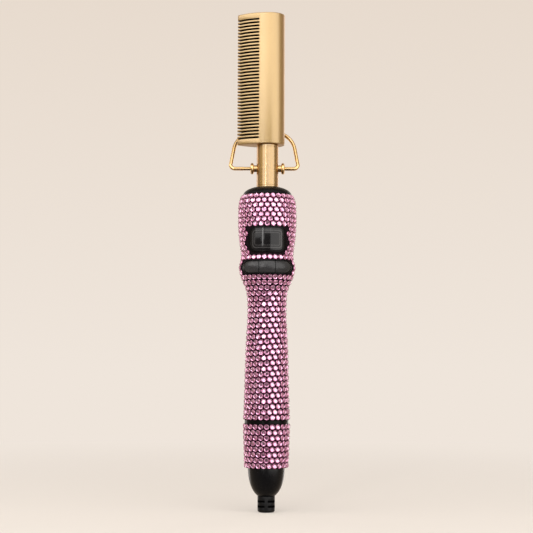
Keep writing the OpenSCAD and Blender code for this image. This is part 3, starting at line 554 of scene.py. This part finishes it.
extrude((foot_x - foot_out - chamfer) * mm, 0, 0)
extrude(chamfer * mm, 0, 0)
widen(foot_r / wire_r, -foot_out)
extrude((foot_out - foot_in - chamfer) * mm, 0, 0)
extrude(chamfer * mm, 0, 0)
widen((foot_r - chamfer) / foot_r, -foot_in)
close()
stand.rotation_euler = (-math.asin((spine_r / mm + wire_r + back_gap) / (corner_z + top_bend)), 0, 0)
stand.location = (stand_slide * mm, 0, pivot_z * mm)
bpy.ops.object.transform_apply()
deliver(stand, bright_gold, "stand", "polished_gold", "stand_bail")

# ---- Nose cap ------------------------------------------------------------------------------
# Heat-proof nylon, moulded, with a low domed face round the tube and a sleeve that is pushed
# into the two shells.


def moulded(name, base, roughness, grain=0.25 * mm, depth=0.008 * mm, shift=1.35, coat=0.0, shine=0.2):
    """Moulded plastic: a fine spark-eroded grain, and cloudy wear that shifts the colour."""
    finish = Finish(name, Specular_IOR_Level=shine, Coat_Weight=coat, Coat_Roughness=0.08)
    fine = finish.noise(grain, detail=2)
    wear = finish.noise(6 * mm)
    worn = [min(1, v * shift + 0.002) for v in base[:3]] + [1]
    finish.paint(Base_Color=finish.mix(wear * 0.7 + fine * 0.3, base, worn),
                 Roughness=roughness + 0.15 * wear - 0.08 * fine)
    finish.bump(fine, depth)
    return finish


nose_bore, nose_low, nose_sleeve = 6.45, 59.2, 11.9
nose_r, nose_base, nose_height = 14.1, 66.4, 4.8
nose_top, nose_edge = nose_base + nose_height - 0.05, 0.15
nose_last = math.acos(nose_bore / nose_r)
nose_rise = nose_height / math.sin(nose_last)
nose_dome = [(nose_r * math.cos(nose_last * i / 20), nose_base + nose_rise * math.sin(nose_last * i / 20))
             for i in range(20)]
nose = turned("nose_ring", [
    (nose_bore, nose_low), (nose_sleeve, nose_low), (nose_sleeve, nose_base - 0.1),
    (nose_r - nose_edge, nose_base - 0.1), *nose_dome,
    (nose_bore + nose_edge, nose_top), (nose_bore, nose_top - 0.1)])
close()
nose_black = moulded("nose_black", colour(5, 5, 6), 0.34, shine=0.1)
deliver(nose, nose_black, "handle", "satin_black", "nose_cap")

# ---- Shells and collar ---------------------------------------------------------------------
# Two glued halves of black nylon, and the collar under them, moulded with a fine matt grain
# that the stones' glue keeps to. Only the gaps between the stones show it.


def finish_node(name, finish):
    """Gives a CAD node its finish."""
    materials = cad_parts[name].data.materials
    materials.clear()
    materials.append(finish.material)


shell_black = moulded("shell_black", colour(15, 5, 10), 0.7, depth=0.012 * mm, shine=0.1)
for name in ("front_shell", "rear_shell", "tail_collar"):
    finish_node(name, shell_black)

# ---- Display window ------------------------------------------------------------------------
# A gloss black ABS bezel bent round the barrel, with a smoked acrylic lens set in it. The
# lens's back is printed black round the clear field that the display shows through.


def eased_copy(name, node, width, segments=2, angle=35):
    """A CAD solid's copy, its triangles merged to whole faces and its edges broken."""
    bpy.ops.object.select_all(action="DESELECT")
    piece = add_object(name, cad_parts[node].data.copy())
    select_only(piece)
    bpy.ops.object.mode_set(mode="EDIT")
    bpy.ops.mesh.select_all(action="SELECT")
    bpy.ops.mesh.remove_doubles(threshold=1e-6)
    bpy.ops.mesh.dissolve_limited(angle_limit=math.radians(1))
    bpy.ops.object.mode_set(mode="OBJECT")
    ease(piece, width, segments, angle)
    return piece


bezel = eased_copy("window_bezel", "display_bezel", 0.3 * mm, segments=3)
gloss_black = moulded("gloss_black", colour(3, 3, 3), 0.25, depth=0.004 * mm, shine=0.12)
deliver(bezel, gloss_black, "handle", "gloss_black", "display_bezel")

window_z = 39.5
lens = eased_copy("window_lens", "display_lens", 0.35 * mm, segments=3)
smoked = Finish("smoked_lens", Specular_IOR_Level=0.3, Coat_Weight=0.22, Coat_Roughness=0.1)
across = smoked.node("SeparateXYZ", {}, {"Vector": smoked.place(Location=(0, 0, -window_z * mm))}, "X")
upward = across.output("Z")


def field_edge(half_w, half_h, corner):
    """Distance outside a rounded field of the lens, less than nothing inside it."""
    dx = abs(across) - (half_w - corner) * mm
    dz = abs(upward) - (half_h - corner) * mm
    past_x, past_z = dx.larger(0), dz.larger(0)
    return (past_x * past_x + past_z * past_z).root() + dx.larger(dz).smaller(0) - corner * mm


def line_at(distance, width):
    """A thin line where the distance is nothing."""
    return (1 - abs(distance) / (width * mm)).larger(0)


print_edge = line_at(field_edge(half_w=8.2, half_h=4.9, corner=1.6), width=0.4)
inner_edge = line_at(field_edge(half_w=7.2, half_h=3.6, corner=1.0), width=0.35)
smoke = smoked.noise(3 * mm)
lens_black = smoked.mix(smoke, colour(10, 10, 11), colour(20, 20, 21))
smoked.paint(Base_Color=smoked.mix(0.45 * print_edge + 0.35 * inner_edge, lens_black, colour(96, 95, 95)),
             Roughness=0.1 + 0.05 * smoke)
deliver(lens, smoked, "handle", "dark_lens", "display_lens")

# ---- Keys ----------------------------------------------------------------------------------
# Three moulded keys that share one crowned oval: less heat, power, more heat. A gloss rim
# round them is part of a plate behind the shell that keeps them over their switches.

surround = eased_copy("key_rim", "key_surround", 0.15 * mm)
deliver(surround, gloss_black, "handle", "gloss_black", "key_surround")
key_grey = moulded("key_grey", colour(26, 26, 27), 0.16, grain=0.6 * mm, depth=0.07 * mm, shift=3.4,
                   shine=0.38)
for name in ("minus_key", "power_key", "plus_key"):
    key = eased_copy(name + "_top", name, 0.22 * mm, segments=3)
    deliver(key, key_grey, name, "key_grey", name)
switches = eased_copy("tact_switches", "key_switches", 0.12 * mm)
switch_grey = moulded("switch_grey", colour(70, 70, 74), 0.45)
deliver(switches, switch_grey, "handle", "board_black", "key_switches")

# ---- Seam ring and tail --------------------------------------------------------------------
# A gloss black ring closes the joint under the shells. Below the collar a domed cap holds the
# cord's swivel, and the rubber sleeve turns in it with the cord.

seam_bore, seam_r, seam_edge = 10.7, 12.6, 0.15
seam_low, seam_top = -65.85, -63.65
seam = turned("seam_band", [
    (seam_bore, seam_low), (seam_r - seam_edge, seam_low), (seam_r, seam_low + seam_edge),
    (seam_r, seam_top - seam_edge), (seam_r - seam_edge, seam_top), (seam_bore, seam_top)])
close()
deliver(seam, gloss_black, "handle", "gloss_black", "seam_ring")

cap_r, cap_len, cap_full = 10.6, 16.1, 2.5
cap_spigot, swivel_r, outlet_r, outlet_rim = 9.9, 7.1, 3.55, 4.9
spigot_top, cap_top, cap_floor, cap_low = -85.9, -91.0, -101.8, -107.0
cap_rise = cap_len / math.sqrt(1 - (outlet_rim / cap_r) ** cap_full)
dome = []
for i in range(21):
    drop = cap_len * math.sin(math.radians(90 * i / 20))
    dome.append((cap_r * (1 - (drop / cap_rise) ** 2) ** (1 / cap_full),
                 cap_top - drop * (cap_top - cap_low) / cap_len))
cap = turned("tail_dome", dome + [
    (outlet_r, cap_low), (outlet_r, cap_floor), (swivel_r, cap_floor), (swivel_r, spigot_top),
    (cap_spigot, spigot_top), (cap_spigot, cap_top)])
close()
ease(cap, 0.12 * mm, angle=50)
satin_black = moulded("satin_black", colour(4, 4, 5), 0.24, shine=0.26)
deliver(cap, satin_black, "handle", "satin_black", "tail_cap")

sleeve = eased_copy("cord_sleeve", "strain_relief", 0.16 * mm, angle=40)
rubber = moulded("black_rubber", colour(9, 9, 10), 0.4, grain=0.4 * mm, depth=0.01 * mm, shine=0.22)
deliver(sleeve, rubber, "cord_swivel", "black_rubber", "strain_relief")
# The walls of the slots between the ribs are painted near black, a painted shade deeper than the rubber
# round them.
rib_slot_shade = moulded("rib_slot_shade", colour(2, 2, 2), 0.8, grain=0.4 * mm, shine=0.02)
ribs_low, ribs_top, rib_r = -115.9 * mm, -107.5 * mm, 4.75 * mm


def between_ribs(face):
    """A wall of the slots between the sleeve's ribs."""
    middle = face.calc_center_median()
    return ribs_low < middle.z < ribs_top and math.hypot(*middle.xy) < rib_r


finish_faces(sleeve, rib_slot_shade, between_ribs)

# ---- Stones --------------------------------------------------------------------------------
# Foil-backed glass stones of three millimetres, each cut with a table, eight facets round it,
# eight steep ones at the rim and eight low ones on its back. They are set in glue by hand, so
# each is turned its own way.

stone_r, stone_depth = 1.52 * mm, 0.84 * mm
# Slope of the facets, turn of the first one, and a point on it by its reach and height
cuts = ((54, 22.5, stone_r, 0.22 * mm), (22, 0, 1.2 * mm, 0.66 * mm), (169, 22.5, 0.75 * mm, 0))

stone = start("cylinder", "stone", vertices=16, radius=stone_r, depth=stone_depth,
              location=(0, 0, stone_depth / 2))
for slope, first_turn, reach, height in cuts:
    tilt = math.radians(slope)
    for i in range(8):
        a = math.radians(45 * i + first_turn)
        c, s = math.cos(a), math.sin(a)
        bpy.ops.mesh.select_all(action="SELECT")
        bpy.ops.mesh.bisect(plane_co=(reach * c, reach * s, height),
                            plane_no=(c * math.sin(tilt), s * math.sin(tilt), math.cos(tilt)),
                            use_fill=True, clear_outer=True)
close()


def stone_part(face):
    """Which of the stone's finishes a face has, by its slope: foil, glued edge, rim or clear top."""
    rise = face.normal.z
    if rise < -0.5:
        return 1
    if abs(rise) < 0.2:
        return 2
    return 3 if rise < 0.75 else 0


stone_points = np.array([v.co for v in stone.data.vertices])
stone_faces = [list(face.vertices) for face in stone.data.polygons]
stone_parts = [stone_part(face) for face in stone.data.polygons]
bpy.data.objects.remove(stone)


def facet_tone(finish):
    """The share from 0 to 1 that each facet is given when the stones are set."""
    return finish.node("Attribute", {"attribute_name": "tone"}, {}, "Fac")


crystal = Finish("pink_stone", Transmission_Weight=1.0, IOR=1.52)
scuffs = crystal.noise(0.8 * mm)
crystal.paint(Base_Color=crystal.mix(scuffs, colour(255, 250, 253), colour(252, 240, 247)),
              Roughness=0.01 + 0.03 * scuffs)
foil = Finish("pink_foil", Metallic=1.0)
tone = facet_tone(foil)
foil.paint(Base_Color=foil.mix(tone, colour(234, 174, 209), colour(251, 206, 234)),
           Roughness=0.06 + 0.08 * tone)
stone_edge = moulded("stone_edge", colour(64, 24, 46), 0.4, grain=0.4 * mm, shift=1.6)
stone_rim = Finish("stone_rim", Metallic=0.7, Coat_Weight=1.0, Coat_Roughness=0.03)
tone = facet_tone(stone_rim)
stone_rim.paint(Base_Color=stone_rim.mix(tone, colour(186, 108, 146), colour(222, 152, 188)),
                Roughness=0.3 + 0.1 * tone)


def seats(node):
    """The place of each stone of a CAD node: the middle of its back and the way it faces."""
    mesh = bmesh.new()
    mesh.from_mesh(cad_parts[node].data)
    bmesh.ops.remove_doubles(mesh, verts=mesh.verts, dist=1e-7)
    left = set(mesh.verts)
    found = []
    while left:
        group, edge = [], [left.pop()]
        while edge:
            point = edge.pop()
            group.append(point.co.copy())
            for link in point.link_edges:
                other = link.other_vert(point)
                if other in left:
                    left.remove(other)
                    edge.append(other)
        points = np.array(group)
        middle = points.mean(0)
        way = np.linalg.svd(points - middle)[2][2]
        if way @ middle < way[2] * middle[2]:
            way = -way
        found.append((middle + way * ((points - middle) @ way).min(), way))
    mesh.free()
    return sorted(found, key=lambda seat: (-round(seat[0][2], 4), math.atan2(seat[0][0], -seat[0][1])))


def set_stones(name, node, seed):
    """Copies the cut stone to every seat, each turned at random, as one piece."""
    chance = random.Random(seed)
    points, faces, tones = [], [], []
    for spot, way in seats(node):
        side = np.cross((0, 0, 1), way)
        side /= np.linalg.norm(side)
        up = np.cross(way, side)
        turn = chance.uniform(0, 2 * math.pi)
        c, s = math.cos(turn), math.sin(turn)
        axes = np.array([c * side + s * up, c * up - s * side, way])
        first = len(points) * len(stone_points)
        points.append(spot + stone_points @ axes)
        foil_tone = chance.random()
        for face in stone_faces:
            faces.append([first + i for i in face])
            tones.append(0.5 * foil_tone + 0.5 * chance.random())
    mesh = bpy.data.meshes.new(name)
    mesh.from_pydata(np.concatenate(points).tolist(), [], faces)
    mesh.update()
    mesh.attributes.new("tone", "FLOAT", "FACE").data.foreach_set("value", tones)
    for finish in (crystal, foil, stone_edge, stone_rim):
        mesh.materials.append(finish.material)
    mesh.polygons.foreach_set("material_index", stone_parts * (len(faces) // len(stone_parts)))
    piece = add_object(name, mesh)
    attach(piece, "handle")
    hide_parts(node)


set_stones("front_crystals", "front_stones", seed=11)
set_stones("rear_crystals", "rear_stones", seed=12)
set_stones("collar_crystals", "collar_stones", seed=13)

# ---- Inside works --------------------------------------------------------------------------
# The heater with its plates, sleeve and sensor in the head; fuse, leads and mica clamp in the
# tube; display and board behind the window and the keys; brushes, rings and bush in the tail.


def sheet_metal(name, base, roughness):
    """Rolled or drawn metal with fine lines along its length."""
    finish = Finish(name, Metallic=1.0)
    lines = finish.noise(0.3 * mm, (1, 1, 0.1))
    finish.paint(Base_Color=finish.mix(lines, base, [v * 0.75 for v in base[:3]] + [1]),
                 Roughness=roughness + 0.15 * lines)
    finish.bump(lines, 0.004 * mm)
    return finish


brass = sheet_metal("spring_brass", colour(205, 165, 85), 0.25)
white_nylon = moulded("white_nylon", colour(214, 210, 196), 0.5, shift=0.9)
inside = {
    "heater_element": moulded("ceramic", colour(226, 224, 214), 0.7, shift=0.92),
    "heater_contacts": sheet_metal("contact_plate", colour(190, 192, 198), 0.35),
    "heater_sleeve": moulded("amber_film", colour(178, 108, 36), 0.25, coat=0.4),
    "thermistor": moulded("glass_bead", colour(46, 42, 44), 0.15, coat=0.8),
    "heater_leads": moulded("fibre_sleeving", colour(205, 202, 190), 0.8, grain=0.5 * mm, depth=0.03 * mm,
                            shift=0.8),
    "thermal_fuse": moulded("fuse_body", colour(222, 216, 196), 0.5, shift=0.92),
    "tube_clamp": moulded("mica", colour(140, 124, 100), 0.35, grain=1.2 * mm, depth=0.01 * mm),
    "lcd_cell": moulded("display_glass", colour(92, 104, 96), 0.1, coat=1.0),
    "lcd_frame": moulded("white_frame", colour(226, 226, 222), 0.45, shift=0.92),
    "main_board": moulded("circuit_board", colour(20, 84, 44), 0.4, grain=1.5 * mm, depth=0.004 * mm),
    "board_parts": moulded("board_black", colour(30, 30, 33), 0.45),
    "board_screws": sheet_metal("zinc_steel", colour(176, 178, 182), 0.3),
    "power_leads": moulded("lead_red", colour(168, 36, 30), 0.4),
    "swivel_bush": white_nylon,
    "swivel_core": white_nylon,
    "slip_rings": brass,
    "brush_springs": brass,
}
for name, finish in inside.items():
    finish_node(name, finish)
